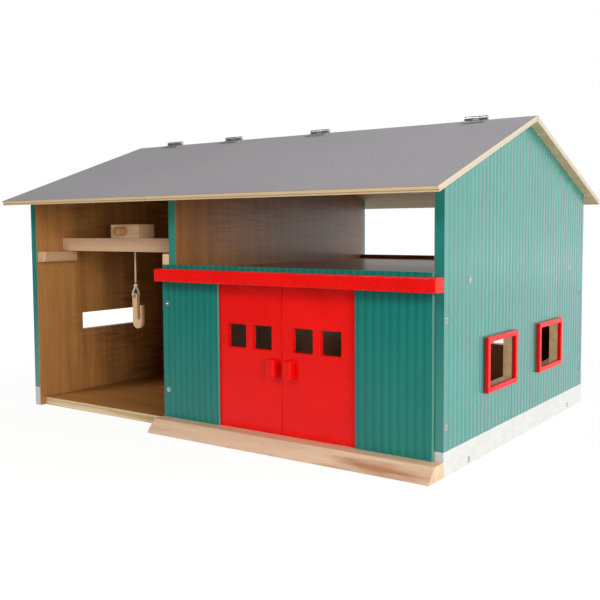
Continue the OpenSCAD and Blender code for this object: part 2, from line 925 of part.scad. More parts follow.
floor_board();
left_gable();
right_gable();
partition_wall();
rear_wall_tall();
rear_wall_low();
loft_floor();
rear_roof();
front_sheet();
front_rail();
threshold();
left_door_post();
right_door_post();
door_top_guide();
side_window_frame_front();
side_window_frame_rear();
rear_window_frame_left();
rear_window_frame_right();
crane_cleat_left();
crane_cleat_right();
wall_screws();
hinge_1_fixed_leaf();
hinge_2_fixed_leaf();
hinge_3_fixed_leaf();
hinge_4_fixed_leaf();
hinge_1_pin();
hinge_2_pin();
hinge_3_pin();
hinge_4_pin();
fixed_leaf_screws();
roof_lid_left();
hinge_1_lid_leaf();
hinge_2_lid_leaf();
left_lid_screws();
roof_lid_right();
hinge_3_lid_leaf();
hinge_4_lid_leaf();
right_lid_screws();
door_left();
door_left_handle();
door_left_screw();
door_right();
door_right_handle();
door_right_screw();
crane_beam();
winder_block();
winder_shaft();
winder_knob();
winder_end_disc();
rope_winding();
hoist_rope();
crane_hook();
rope_loop();
rope_knot();
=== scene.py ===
# %% [markdown]
# A wooden toy barn. The board walls, the roof, the sliding leaves and the crane come from the
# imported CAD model, so nothing has to be placed by eye. This script rounds their edges, makes the
# rope and the screws anew, and gives every piece the finish of the real material.

# %% Load the frame
import json
import math

import bmesh
import bpy
from mathutils import Matrix, Vector


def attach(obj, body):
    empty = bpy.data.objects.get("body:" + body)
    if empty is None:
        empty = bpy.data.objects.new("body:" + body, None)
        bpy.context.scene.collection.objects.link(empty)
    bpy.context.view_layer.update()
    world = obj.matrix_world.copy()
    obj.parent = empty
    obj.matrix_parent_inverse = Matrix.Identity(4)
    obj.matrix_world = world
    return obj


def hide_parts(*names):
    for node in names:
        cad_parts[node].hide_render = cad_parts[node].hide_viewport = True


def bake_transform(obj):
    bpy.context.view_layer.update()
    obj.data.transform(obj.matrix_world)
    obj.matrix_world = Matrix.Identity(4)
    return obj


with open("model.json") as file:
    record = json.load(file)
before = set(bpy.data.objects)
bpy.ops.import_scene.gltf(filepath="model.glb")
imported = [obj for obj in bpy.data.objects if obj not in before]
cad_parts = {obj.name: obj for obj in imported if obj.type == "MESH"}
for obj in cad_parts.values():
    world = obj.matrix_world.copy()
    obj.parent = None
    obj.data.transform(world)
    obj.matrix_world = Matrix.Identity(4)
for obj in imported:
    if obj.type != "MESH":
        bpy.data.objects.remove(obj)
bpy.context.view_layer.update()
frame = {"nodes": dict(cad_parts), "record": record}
MM = 0.001

# %% [markdown]
# The camera stands to the right of the barn, at two thirds of its height, as in the photograph.
# Its place and turn come from fitting a camera to the building's right angles. The shift keeps
# the photograph's framing, because its middle isn't where the lens points. Turns are in radians.

# %% Camera
LENS_MM = 49.47
SHIFT = (-0.0547, -0.0275)
CAMERA_PLACE = (0.5565, -0.7755, 0.2019)
LOOKS_DOWN = 0.0651
LEANS = 0.0036
TURNS_LEFT = 0.5924
camera_data = bpy.data.cameras.new("camera")
camera_data.sensor_fit = "HORIZONTAL"
camera_data.sensor_width = 36.0
camera_data.lens = LENS_MM
camera_data.shift_x, camera_data.shift_y = SHIFT
camera_data.clip_start = 0.05
camera = bpy.data.objects.new("camera", camera_data)
camera.location = CAMERA_PLACE
camera.rotation_euler = (math.radians(90) - LOOKS_DOWN, LEANS, TURNS_LEFT)
bpy.context.scene.collection.objects.link(camera)
bpy.context.scene.camera = camera
print("camera at", [round(v, 3) for v in camera.location])

# %% [markdown]
# The crane rope is a cotton cord of three strands laid round each other. Each strand is a curve
# with a round section that circles the rope's own route once every seven millimetres. Blender's
# curve tool sweeps the section, and the result is turned into a mesh.

# %% Rope maker
ROPE_D = 2.2 * MM
STRAND_R = 0.56 * MM
LAY_R = ROPE_D / 2 - STRAND_R
LAY_LENGTH = 7.0 * MM
STRANDS = 3
PARTS_PER_SPAN = 12


def smooth_route(points, step, cyclic=False):
    """Even points along a smooth curve through the given ones."""
    count = len(points)
    spans = count if cyclic else count - 1
    fine = []
    for i in range(spans):
        p = [points[(i + k) % count] if cyclic else points[min(max(i + k, 0), count - 1)]
             for k in (-1, 0, 1, 2)]
        for j in range(PARTS_PER_SPAN):
            t = j / PARTS_PER_SPAN
            fine.append(0.5 * (2 * p[1] + (p[2] - p[0]) * t
                               + (2 * p[0] - 5 * p[1] + 4 * p[2] - p[3]) * t * t
                               + (3 * p[1] - p[0] - 3 * p[2] + p[3]) * t ** 3))
    fine.append(points[0] if cyclic else points[-1])
    lengths = [0.0]
    for a, b in zip(fine, fine[1:]):
        lengths.append(lengths[-1] + (b - a).length)
    wanted = max(2, round(lengths[-1] / step))
    even, at = [], 0
    for k in range(wanted + 1):
        s = lengths[-1] * k / wanted
        while at < len(fine) - 2 and lengths[at + 1] < s:
            at += 1
        span = lengths[at + 1] - lengths[at]
        even.append(fine[at].lerp(fine[at + 1], (s - lengths[at]) / span if span else 0))
    return even


def laid_rope(name, points, cyclic=False, step=0.5 * MM):
    """Strands laid round a route, as one mesh object."""
    route = smooth_route([Vector(p) for p in points], step, cyclic)
    if cyclic:
        route.pop()
    count = len(route)
    tangents = []
    for i in range(count):
        ahead = route[(i + 1) % count] if cyclic else route[min(i + 1, count - 1)]
        behind = route[i - 1] if cyclic else route[max(i - 1, 0)]
        tangents.append((ahead - behind).normalized())
    side = tangents[0].orthogonal().normalized()
    sides = []
    for t in tangents:
        side = (side - t * side.dot(t)).normalized()
        sides.append(side.copy())
    total = sum((b - a).length for a, b in zip(route, route[1:]))
    turns = max(1, round(total / LAY_LENGTH))
    curve = bpy.data.curves.new(name, "CURVE")
    curve.dimensions = "3D"
    curve.bevel_depth = STRAND_R
    curve.bevel_resolution = 1
    curve.use_fill_caps = True
    for strand in range(STRANDS):
        spline = curve.splines.new("POLY")
        spline.points.add(count - 1)
        spline.use_cyclic_u = cyclic
        for i, (p, t, n) in enumerate(zip(route, tangents, sides)):
            turn = 2 * math.pi * (turns * i / count + strand / STRANDS)
            offset = n * math.cos(turn) + t.cross(n) * math.sin(turn)
            spline.points[i].co = (*(p + offset * LAY_R), 1)
    maker = bpy.data.objects.new(name + "_curve", curve)
    bpy.context.scene.collection.objects.link(maker)
    bpy.context.view_layer.update()
    mesh = bpy.data.meshes.new_from_object(
        maker.evaluated_get(bpy.context.evaluated_depsgraph_get()))
    bpy.data.objects.remove(maker)
    mesh.name = name
    for polygon in mesh.polygons:
        polygon.use_smooth = True
    made = bpy.data.objects.new(name, mesh)
    bpy.context.scene.collection.objects.link(made)
    return made


# %% [markdown]
# The rope hangs straight from the shaft's left side. Two turns lie on the shaft, in the notch of
# the block, in front of the hanging rope.

# %% Hanging rope and its turns
ROPE_X = -150.5 * MM
ROPE_Y = -126 * MM
SHAFT_X = -146 * MM
SHAFT_Z = 201 * MM
ROPE_END_Z = 142.3 * MM
KNOT_Z = 139.2 * MM

HANGING_PARTS = 16
hanging_route = [(ROPE_X, ROPE_Y, SHAFT_Z + (ROPE_END_Z - SHAFT_Z) * k / HANGING_PARTS)
                 for k in range(HANGING_PARTS + 1)]
hanging_rope = laid_rope("crane_rope", hanging_route)

TURN_R = 4.2 * MM
TURN_PITCH = 2.5 * MM
TURNS = 2
PARTS_PER_TURN = 16
FIRST_TURN_Y = -133.6 * MM
turn_route = []
for k in range(TURNS * PARTS_PER_TURN + 1):
    angle = 2 * math.pi * k / PARTS_PER_TURN
    turn_route.append((SHAFT_X + TURN_R * math.cos(angle),
                       FIRST_TURN_Y + TURN_PITCH * k / PARTS_PER_TURN,
                       SHAFT_Z + TURN_R * math.sin(angle)))
rope_turns = laid_rope("crane_rope_turns", turn_route)

# %% [markdown]
# A single overhand knot ends the rope. A trefoil is that knot with its ends joined, so three
# lobes of rope pulled tight read as the real thing at this size. Under it the rope goes through
# the hook's eye as a loop.

# %% Knot and loop
KNOT_SCALE = 0.62 * MM
KNOT_POINTS = 24
knot_route = []
for k in range(KNOT_POINTS):
    t = 2 * math.pi * k / KNOT_POINTS
    knot_route.append((ROPE_X + KNOT_SCALE * (math.sin(t) + 2 * math.sin(2 * t)),
                       ROPE_Y - KNOT_SCALE * 1.6 * math.sin(3 * t),
                       KNOT_Z + KNOT_SCALE * (math.cos(t) - 2 * math.cos(2 * t))))
rope_knot = laid_rope("crane_rope_knot", knot_route, cyclic=True, step=0.4 * MM)

loop_side = [(-0.6, 137.2), (-2.3, 135.4), (-3.9, 132.6), (-4.55, 129.8), (-4.05, 127.6),
             (-2.5, 126.9), (0, 126.7), (2.5, 126.9), (4.05, 127.6), (4.55, 129.8), (3.9, 132.6),
             (2.3, 135.4), (0.6, 137.2)]
loop_route = [(ROPE_X, ROPE_Y + y * MM, z * MM) for y, z in loop_side]
rope_loop = laid_rope("crane_rope_loop", loop_route)
print("rope made in four pieces")

# %% [markdown]
# Boards that leave a saw or a press never have knife edges: a touch of sandpaper breaks them,
# and paint rounds them further. In a copy of each CAD solid the double points are merged, flat
# triangles are joined, and every sharp edge is bevelled by the table's width in millimetres.
# Weighted normals keep the wide faces flat to the eye.

# %% Edge rounding
SAME_POINT = 1e-6
FLAT_BELOW = math.radians(0.3)
EDGE_ABOVE = math.radians(35)
SHADED_SHARP_ABOVE = math.radians(50)


def eased(name, node, width):
    """A copy of a CAD node with its edges rounded, standing for the node."""
    source = frame["nodes"][node]
    bm = bmesh.new()
    bm.from_mesh(source.data)
    bmesh.ops.remove_doubles(bm, verts=bm.verts[:], dist=SAME_POINT)
    bmesh.ops.dissolve_limit(bm, angle_limit=FLAT_BELOW, use_dissolve_boundaries=False,
                             verts=bm.verts[:], edges=bm.edges[:])
    edges = [e for e in bm.edges
             if len(e.link_faces) == 2 and e.calc_face_angle(0) > EDGE_ABOVE]
    bmesh.ops.bevel(bm, geom=edges, offset=width, offset_type="OFFSET", affect="EDGES",
                    segments=2, profile=0.5, material=-1, clamp_overlap=True)
    mesh = bpy.data.meshes.new(name)
    bm.to_mesh(mesh)
    bm.free()
    return finished(name, mesh, node)


def finished(name, mesh, node, normals=True):
    """Links a piece, rides it on its node's body and hides the node."""
    made = bpy.data.objects.new(name, mesh)
    bpy.context.scene.collection.objects.link(made)
    if normals:
        for polygon in mesh.polygons:
            polygon.use_smooth = True
        mesh.set_sharp_from_angle(angle=SHADED_SHARP_ABOVE)
        weights = made.modifiers.new("even_light", "WEIGHTED_NORMAL")
        weights.keep_sharp = True
    body = next(b for b, ns in frame["record"]["behaviour"]["bodies"].items() if node in ns)
    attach(made, body)
    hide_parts(node)
    return made


def slot_of(node):
    """The material slot that the record gives the node."""
    return next(s["material_slot"] for s in frame["record"]["subparts"] if s["node"] == node)


# %% Rounded boards and blocks
LEAF_EDGE = 0.15
EASED_NODES = {
    "left_gable": 0.35, "right_gable": 0.35, "rear_wall_tall": 0.35, "rear_wall_low": 0.35,
    "front_sheet": 0.25, "partition_wall": 0.5, "floor_board": 0.5, "loft_floor": 0.5,
    "rear_roof": 0.4, "roof_lid_left": 0.4, "roof_lid_right": 0.4,
    "front_rail": 0.9, "threshold": 0.6, "left_door_post": 0.5, "right_door_post": 0.5,
    "door_top_guide": 0.5,
    "side_window_frame_front": 0.7, "side_window_frame_rear": 0.7,
    "rear_window_frame_left": 0.7, "rear_window_frame_right": 0.7,
    "door_left": 0.5, "door_right": 0.5, "door_left_handle": 0.7, "door_right_handle": 0.7,
    "crane_cleat_left": 0.8, "crane_cleat_right": 0.8, "crane_beam": 0.8, "winder_block": 0.8,
    "winder_shaft": 0.4, "winder_knob": 0.4, "winder_end_disc": 0.6, "crane_hook": 0.9,
    **{f"hinge_{k}_{half}_leaf": LEAF_EDGE for half in ("fixed", "lid") for k in (1, 2, 3, 4)},
}
pieces = {node: eased(node + "_shaped", node, width * MM)
          for node, width in EASED_NODES.items()}
print("rounded", len(pieces), "pieces")

# %% [markdown]
# The screws are zinc plated and countersunk, with a cross recess for the driver. Real ones were
# driven after painting, so they show as bright rings with a dark cross. One screw starts as a
# circle: the cross is bridged to it and pushed in, the shank is drawn out below, and the whole is
# repeated at the CAD model's holes. Nobody lines screws up, so the crosses are turned.

# %% Screw maker
HEAD_RIM = 0.4 * MM
CROSS_SINK = 0.02 * MM
ARM_HALF_WIDTH = 0.3
CROSS_NARROWS_TO = 0.55
TIP_NARROWS_TO = 0.1


def screw_mesh(head_d, shank_d, length, cross, depth):
    """A countersunk screw along minus Z with its head's top at zero."""
    bm = bmesh.new()
    bmesh.ops.create_circle(bm, radius=head_d / 2, segments=24)
    arm, half = cross, cross * ARM_HALF_WIDTH
    corners = [(arm, -half), (arm, half), (half, half), (half, arm), (-half, arm), (-half, half),
               (-arm, half), (-arm, -half), (-half, -half), (-half, -arm), (half, -arm),
               (half, -half)]
    marks = [bm.verts.new((x, y, -CROSS_SINK)) for x, y in corners]
    loop = [bm.edges.new(ends) for ends in zip(marks, marks[1:] + marks[:1])]
    bmesh.ops.subdivide_edges(bm, edges=loop, cuts=1)
    inner = [e for e in bm.edges if all(v.co.xy.length < head_d * 0.45 for v in e.verts)]
    outer = [e for e in bm.edges if e not in inner]
    bmesh.ops.bridge_loops(bm, edges=inner + outer)
    floor = bmesh.ops.extrude_edge_only(bm, edges=inner)["geom"]
    down = [g for g in floor if isinstance(g, bmesh.types.BMVert)]
    bmesh.ops.translate(bm, verts=down, vec=(0, 0, -depth))
    bmesh.ops.scale(bm, verts=down, vec=(CROSS_NARROWS_TO, CROSS_NARROWS_TO, 1))
    bmesh.ops.contextual_create(bm, geom=[g for g in floor if isinstance(g, bmesh.types.BMEdge)
                                          and all(v in down for v in g.verts)])
    ring = [e for e in bm.edges if e.is_boundary]
    for radius, drop in ((head_d / 2, HEAD_RIM), (shank_d / 2, (head_d - shank_d) / 2),
                         (shank_d / 2, length - HEAD_RIM - (head_d - shank_d))):
        grown = bmesh.ops.extrude_edge_only(bm, edges=ring)["geom"]
        verts = [g for g in grown if isinstance(g, bmesh.types.BMVert)]
        now = max(v.co.xy.length for v in verts)
        bmesh.ops.scale(bm, verts=verts, vec=(radius / now, radius / now, 1))
        bmesh.ops.translate(bm, verts=verts, vec=(0, 0, -drop))
        ring = [g for g in grown if isinstance(g, bmesh.types.BMEdge)
                and all(v in verts for v in g.verts)]
    tip = bmesh.ops.extrude_edge_only(bm, edges=ring)["geom"]
    verts = [g for g in tip if isinstance(g, bmesh.types.BMVert)]
    bmesh.ops.scale(bm, verts=verts, vec=(TIP_NARROWS_TO, TIP_NARROWS_TO, 1))
    bmesh.ops.translate(bm, verts=verts, vec=(0, 0, -shank_d / 2))
    bmesh.ops.contextual_create(bm, geom=[g for g in tip if isinstance(g, bmesh.types.BMEdge)
                                          and all(v in verts for v in g.verts)])
    bmesh.ops.recalc_face_normals(bm, faces=bm.faces[:])
    mesh = bpy.data.meshes.new("screw")
    bm.to_mesh(mesh)
    bm.free()
    return mesh


def screws(name, node, kinds):
    """Screws of several sizes at their places, as one piece that stands for the node."""
    bm = bmesh.new()
    for size, places in kinds:
        one = screw_mesh(*size)
        for place in places:
            start = len(bm.verts)
            bm.from_mesh(one)
            bm.verts.ensure_lookup_table()
            bmesh.ops.transform(bm, matrix=place, verts=bm.verts[start:])
    mesh = bpy.data.meshes.new(name)
    bm.to_mesh(mesh)
    bm.free()
    print(name, sum(len(places) for _, places in kinds), "screws")
    return finished(name, mesh, node, normals=False)


# %% Places of the screws in the walls
HALF_WIDTH = 263 * MM
HALF_DEPTH = 180 * MM
BOARD = 9 * MM
SHEET = 3 * MM
LOFT_MIDDLE = 159 * MM
PART_LEFT = -43 * MM
WALL_SCREW, POST_SCREW, SHEET_SCREW = [
    (5.6 * MM, 3.0 * MM, length * MM, 1.5 * MM, 1.2 * MM) for length in (22, 17, 11)]
POST_SCREW_Z = (41 * MM, 128.5 * MM)
rear_row = HALF_DEPTH - BOARD / 2
floor_row = [(-131 * MM, BOARD / 2), (131 * MM, BOARD / 2)]
right_places = [(-131 * MM, LOFT_MIDDLE), (131 * MM, LOFT_MIDDLE),
                (rear_row, 40 * MM), (rear_row, 128 * MM)] + floor_row
left_places = [(rear_row, 40 * MM), (rear_row, 128 * MM), (rear_row, 215.7 * MM)] + floor_row


def facing(point, direction, turn):
    """A screw's matrix: its head looks along direction, and turn in degrees turns its cross."""
    up = Vector(direction).to_track_quat("Z", "Y").to_matrix().to_4x4()
    return Matrix.Translation(point) @ up @ Matrix.Rotation(math.radians(turn), 4, "Z")


# %% Screws in the walls
long_screws = [facing((HALF_WIDTH, y, z), (1, 0, 0), 17 * k)
               for k, (y, z) in enumerate(right_places)]
long_screws += [facing((-HALF_WIDTH, y, z), (-1, 0, 0), 23 * k)
                for k, (y, z) in enumerate(left_places)]
post_places = [facing((HALF_WIDTH, -rear_row, z), (1, 0, 0), 30) for z in POST_SCREW_Z]
sheet_places = [facing((PART_LEFT, -HALF_DEPTH - SHEET, z), (0, -1, 0), 12)
                for z in POST_SCREW_Z]
pieces["wall_screws"] = screws("wall_screw_set", "wall_screws", [
    (WALL_SCREW, long_screws), (POST_SCREW, post_places), (SHEET_SCREW, sheet_places)])

# %% Screws in the hinges
HINGE_X = (-209 * MM, -110 * MM, 18 * MM, 209 * MM)
RIDGE_Z = 311 * MM
PITCH = math.radians(19.85)
LEAF_SCREW_X = 7 * MM
LEAF_SCREW_S = 7.2 * MM
LEAF_T = 1 * MM
HINGE_SCREW = (3.8 * MM, 1.8 * MM, 4.6 * MM, 1.0 * MM, 0.8 * MM)


def leaf_places(which, side):
    """Screw places of these hinges: side is 1 on the rear slope and -1 on the front one."""
    normal = Vector((0, side * math.sin(PITCH), math.cos(PITCH)))
    down = Vector((0, side * math.cos(PITCH), -math.sin(PITCH)))
    ridge = Vector((0, 0, RIDGE_Z))
    return [facing(ridge + Vector((HINGE_X[i] + way * LEAF_SCREW_X, 0, 0)) + down * LEAF_SCREW_S
                   + normal * LEAF_T, normal, 31 * i + 28 * way)
            for i in which for way in (-1, 1)]


for node, which, side in (("fixed_leaf_screws", (0, 1, 2, 3), 1),
                          ("left_lid_screws", (0, 1), -1), ("right_lid_screws", (2, 3), -1)):
    pieces[node] = screws(node + "_set", node, [(HINGE_SCREW, leaf_places(which, side))])

# %% [markdown]
# Materials. Each is named for the real stuff and how its surface was made. Colours are written
# as the hex values that a screen shows, and one function turns them into Blender's linear
# numbers. One more function adds a shader node with its settings and links. A Map Range node
# takes a value, the range it comes from and the range it goes to, as inputs 0 to 4. Most of a
# noise lies between 0.3 and 0.7, so that is the usual range it comes from. A Mix node for colours
# takes its factor as input 0 and the colours as 6 and 7, and gives output 2.

# %% Colour and node helpers
MIX = "ShaderNodeMix"
COLOURS = {"out": 2, "data_type": "RGBA"}
MATHS = "ShaderNodeMath"
VECTORS = "ShaderNodeVectorMath"
RANGE = "ShaderNodeMapRange"
SPLIT = "ShaderNodeSeparateXYZ"


def linear(colour):
    """An sRGB hex colour as linear numbers with full alpha."""
    parts = [int(colour[i:i + 2], 16) / 255 for i in (1, 3, 5)]
    return tuple(c / 12.92 if c <= 0.04045 else ((c + 0.055) / 1.055) ** 2.4
                 for c in parts) + (1.0,)


def add(tree, kind, inputs=None, out=0, **settings):
    """Adds a node and gives back one output. inputs holds values or sockets, by name or number."""
    node = tree.nodes.new(kind)
    for name, value in settings.items():
        setattr(node, name, value)
    for key, value in (inputs or {}).items():
        if isinstance(value, bpy.types.NodeSocket):
            tree.links.new(value, node.inputs[key])
        else:
            node.inputs[key].default_value = value
    return node.outputs[out] if node.outputs else None


# %% Start, pattern and end of a material


def new_material(name):
    """An empty material, its tree, and sockets for the piece's own point and normal."""
    made = bpy.data.materials.new(name)
    made.use_nodes = True
    tree = made.node_tree
    tree.nodes.clear()
    where = add(tree, "ShaderNodeTexCoord").node.outputs
    return made, tree, where["Object"], where["Normal"]


def pattern(tree, point, size_mm, detail, offset=(0, 0, 0)):
    """A random pattern whose spots measure size_mm along X, Y and Z."""
    scaled = add(tree, "ShaderNodeMapping", {
        "Vector": point, "Location": offset, "Scale": [1000 / size for size in size_mm]})
    return add(tree, "ShaderNodeTexNoise", {
        "Vector": scaled, "Scale": 1.0, "Detail": detail, "Roughness": 0.5})


def surface(tree, colour, roughness, height, lift, strength, **sockets):
    """Ends a material in one principled shader, with a fine bump from height."""
    bump = add(tree, "ShaderNodeBump", {
        "Height": height, "Distance": lift, "Strength": strength})
    shader = add(tree, "ShaderNodeBsdfPrincipled", {
        "Base Color": colour, "Roughness": roughness, "Normal": bump, **sockets})
    add(tree, "ShaderNodeOutputMaterial", {"Surface": shader})


# %% [markdown]
# Beech is a pale pinkish wood with straight grain and short dark flecks a few millimetres long.
# The grain is noise drawn out along the board, and the flecks are a finer noise of which only
# the highest spots show. Sanded and left bare, beech is quite rough. The flecks are drawn a
# little coarser than life, so that they show.

# %% Wood colour


def lengths_along(along, short, long):
    """Pattern sizes with the long one on the grain's axis."""
    return [long if axis == along else short for axis in "XYZ"]


def wood_colour(tree, point, along, dark, light, fleck, seed):
    """Grain bands, fine fibres and flecks: a colour and a height."""
    offset = (seed, seed * 2.3, seed * 1.7)
    bands = pattern(tree, point, lengths_along(along, 9, 140), 4, offset)
    fibres = pattern(tree, point, lengths_along(along, 0.9, 30), 3, offset)
    flecks = pattern(tree, point, lengths_along(along, 0.7, 4.5), 1, offset)
    tone = add(tree, MATHS, {0: add(tree, RANGE, {0: bands, 1: 0.3, 2: 0.7, 4: 0.6}),
                             1: add(tree, RANGE, {0: fibres, 1: 0.3, 2: 0.7, 4: 0.4})},
               operation="ADD")
    base = add(tree, MIX, {0: tone, 6: linear(dark), 7: linear(light)}, **COLOURS)
    marked = add(tree, RANGE, {0: flecks, 1: 0.6, 2: 0.72, 4: 0.45})
    return add(tree, MIX, {0: marked, 6: base, 7: linear(fleck)}, **COLOURS), fibres


def wood(name, along, dark, light, fleck, figure=None, seed=0.0):
    """Bare sanded wood with its grain along X, Y or Z."""
    made, tree, point, _ = new_material(name)
    colour, fibres = wood_colour(tree, point, along, dark, light, fleck, seed)
    if figure:
        colour = figure(tree, point, colour)
    surface(tree, colour, 0.55, fibres, 0.06 * MM, 0.5)
    return made


# %% [markdown]
# The threshold is darker brown in a streak near its right end. It is a long blob round one
# point, squeezed most across the board, and a noise makes its outline wander along the grain.

# %% Beech pieces
STREAK_AT = (215 * MM, -205 * MM, 6 * MM)
STREAK_SQUEEZE = (14, 120, 190)


def darker_streak(tree, point, colour):
    """Colours a darker brown streak into the beech."""
    off_middle = add(tree, VECTORS, {0: point, 1: STREAK_AT}, operation="SUBTRACT")
    squeezed = add(tree, VECTORS, {0: off_middle, 1: STREAK_SQUEEZE}, operation="MULTIPLY")
    away = add(tree, VECTORS, {0: squeezed}, out="Value", operation="LENGTH")
    wander = add(tree, RANGE, {0: pattern(tree, point, (60, 6, 6), 3),
                               1: 0.3, 2: 0.7, 3: -0.5, 4: 0.5})
    near = add(tree, MATHS, {0: away, 1: wander}, operation="ADD")
    amount = add(tree, RANGE, {0: near, 1: 0.3, 2: 1.3, 3: 0.85, 4: 0})
    return add(tree, MIX, {0: amount, 6: colour, 7: linear("#9c5c30")}, **COLOURS)


BEECH = ("#cfa27a", "#e3c09c", "#b98762")
beech_x = wood("beech_sanded_grain_x", "X", *BEECH)
beech_y = wood("beech_sanded_grain_y", "Y", *BEECH, seed=3.1)
beech_z = wood("beech_sanded_grain_z", "Z", *BEECH, seed=5.7)
beech_peg = wood("beech_oiled_peg", "Y", "#9a6c3c", "#b98a55", "#7a5028", seed=9.9)
# The left cleat's beech is darker than the right one's. Part of that is its own redder tone, and
# part is painted shade for the dimmer place high in the left bay where it sits.
beech_cleat_toned_and_shaded = wood("beech_sanded_redder_and_shaded", "Y", "#b48a64", "#c8a27c", "#96693f", seed=8.8)
beech_threshold = wood("beech_sanded_threshold", "X", "#c29a7a", "#d8b899", "#b08260",
                       figure=darker_streak, seed=1.3)
print("beech ready")

# %% [markdown]
# The inside of the boards is faced with a brown veneer under a thin satin lacquer. Its grain runs
# up the walls, and away from the front edge the wood shows ripple figure: short level bands three
# millimetres apart that catch the light. The ripple is a second noise, long across the grain.

# %% Veneer colour
VENEER = ("#8c5a2b", "#bb8548", "#5f3816")
RIPPLE_STARTS_Y = -150 * MM
RIPPLE_FULL_Y = -120 * MM


def veneer_colour(tree, point, along, ripple_axis, seed):
    """Brown veneer: grain along one axis, ripple bands along another, deeper in the barn."""
    colour, fibres = wood_colour(tree, point, along, *VENEER, seed)
    if ripple_axis is None:
        return colour, fibres
    ripple = pattern(tree, point, lengths_along(ripple_axis, 3.2, 45), 2, (seed, 0.4, 0.9))
    amount = add(tree, RANGE, {0: ripple, 1: 0.42, 2: 0.62, 4: 0.7})
    depth = add(tree, SPLIT, {0: point}, out="Y")
    patches = pattern(tree, point, (90, 90, 60), 1)
    for inside in (add(tree, RANGE, {0: depth, 1: RIPPLE_STARTS_Y, 2: RIPPLE_FULL_Y}),
                   add(tree, RANGE, {0: patches, 1: 0.35, 2: 0.6})):
        amount = add(tree, MATHS, {0: amount, 1: inside}, operation="MULTIPLY")
    return add(tree, MIX, {0: amount, 6: colour, 7: linear("#6b4526")}, **COLOURS), fibres


def veneered_board(name, along, ripple_axis, seed):
    """A veneered board, and a socket that is 1 on its front edge and 0 elsewhere."""
    made, tree, point, normal = new_material(name)
    colour, fibres = veneer_colour(tree, point, along, ripple_axis, seed)
    front = add(tree, RANGE, {0: add(tree, SPLIT, {0: normal}, out="Y"),
                              1: -0.8, 2: -0.6, 3: 1, 4: 0})
    return made, tree, point, colour, fibres, front


# %% [markdown]
# The floors show their plies at the front edge. The partition's front edge is painted, and its
# faces are a browner veneer under a thicker, shinier lacquer, which the coat lobe gives.

# %% Floor, loft floor and partition
floor_finish, tree, point, colour, fibres, front = veneered_board(
    "oak_veneer_floor", "X", None, 2.2)
plies = add(tree, RANGE, {0: pattern(tree, point, (120, 120, 1.3), 2), 1: 0.4, 2: 0.6})
bare_edge = add(tree, MIX, {0: plies, 6: linear("#b8976b"), 7: linear("#e0c79d")}, **COLOURS)
colour = add(tree, MIX, {0: front, 6: colour, 7: bare_edge}, **COLOURS)
surface(tree, colour, 0.3, fibres, 0.03 * MM, 0.3)

partition_finish, tree, point, colour, fibres, front = veneered_board(
    "oak_veneer_partition", "Z", "Y", 4.4)
browner = add(tree, RANGE, {0: pattern(tree, point, (60, 60, 200), 2, (1.1, 0, 0)),
                            1: 0.3, 2: 0.7, 3: 0.3, 4: 0.5})
colour = add(tree, MIX, {0: browner, 6: colour, 7: linear("#5d3414")}, **COLOURS)
colour = add(tree, MIX, {0: front, 6: colour, 7: linear("#1b7a69")}, **COLOURS)
surface(tree, colour, 0.42, fibres, 0.05 * MM, 0.4,
        **{"Coat Weight": 0.5, "Coat Roughness": 0.2})
print("veneer ready")

# %% [markdown]
# The outer boards are pressed with upright ribs and painted teal, with a plain white band at the
# foot. Inside they are veneered, and the sawn reveals of the windows stay bare. One material
# tells these places apart by the piece's own coordinates and normal, so no seams are needed. The
# teal is a gloss paint: a coat over it gives the pale veil that a flat look along it shows.

# %% Teal paint
TEAL = "#127066"
TEAL_WORN = "#1d8276"
PAINT_FROM = 0.25 * MM
PAINT_FULL = 0.45 * MM


def off_back(tree, along, outside, inner):
    """How far a place lies in front of the board's back face."""
    offset = add(tree, MATHS, {0: along, 1: inner}, operation="SUBTRACT")
    return add(tree, MATHS, {0: offset, 1: 1 if outside > inner else -1},
               operation="MULTIPLY")


def teal_paint(tree, point, seed):
    """Teal that is a little paler in worn patches a few centimetres wide."""
    wear = add(tree, RANGE, {0: pattern(tree, point, (35, 35, 60), 3, (seed, seed, 0)),
                             1: 0.3, 2: 0.7, 4: 0.3})
    return add(tree, MIX, {0: wear, 6: linear(TEAL), 7: linear(TEAL_WORN)}, **COLOURS)


def painted_surface(tree, point, colour, painted, **sockets):
    """Ends a painted board: smoother where the paint is, with a fine orange peel."""
    roughness = add(tree, RANGE, {0: painted, 3: 0.45, 4: 0.24})
    peel = pattern(tree, point, (1.2, 1.2, 1.2), 2)
    surface(tree, colour, roughness, peel, 0.02 * MM, 0.35, **sockets)


# %% Ribbed boards
PLINTH = "#c0bfbb"
PLINTH_DULL = "#b9b8b4"
PLINTH_Z = 21 * MM
PLINTH_SOFT = 0.1 * MM
COAT = 0.6
WINDOW_LOW = 55 * MM
WINDOW_HIGH = 111 * MM
REVEAL_SOFT_Z = 1 * MM
REVEAL_SOFT = 0.2 * MM


def window_reveal(tree, place, normal, axis):
    """1 on the sawn faces inside the windows and the slot, 0 elsewhere."""
    other, reach = ("Y", 150 * MM) if axis == "X" else ("X", 245 * MM)
    facing_out = add(tree, MATHS, {0: add(tree, SPLIT, {0: normal}, out=axis)},
                     operation="ABSOLUTE")
    reveal = add(tree, RANGE, {0: facing_out, 1: 0.3, 2: 0.4, 3: 1, 4: 0})
    for socket, low, high, start, end in (
            (place[other], -reach, -reach + REVEAL_SOFT, 0, 1),
            (place[other], reach - REVEAL_SOFT, reach, 1, 0),
            (place["Z"], WINDOW_LOW, WINDOW_LOW + REVEAL_SOFT_Z, 0, 1),
            (place["Z"], WINDOW_HIGH - REVEAL_SOFT_Z, WINDOW_HIGH, 1, 0)):
        inside = add(tree, RANGE, {0: socket, 1: low, 2: high, 3: start, 4: end})
        reveal = add(tree, MATHS, {0: reveal, 1: inside}, operation="MULTIPLY")
    return reveal


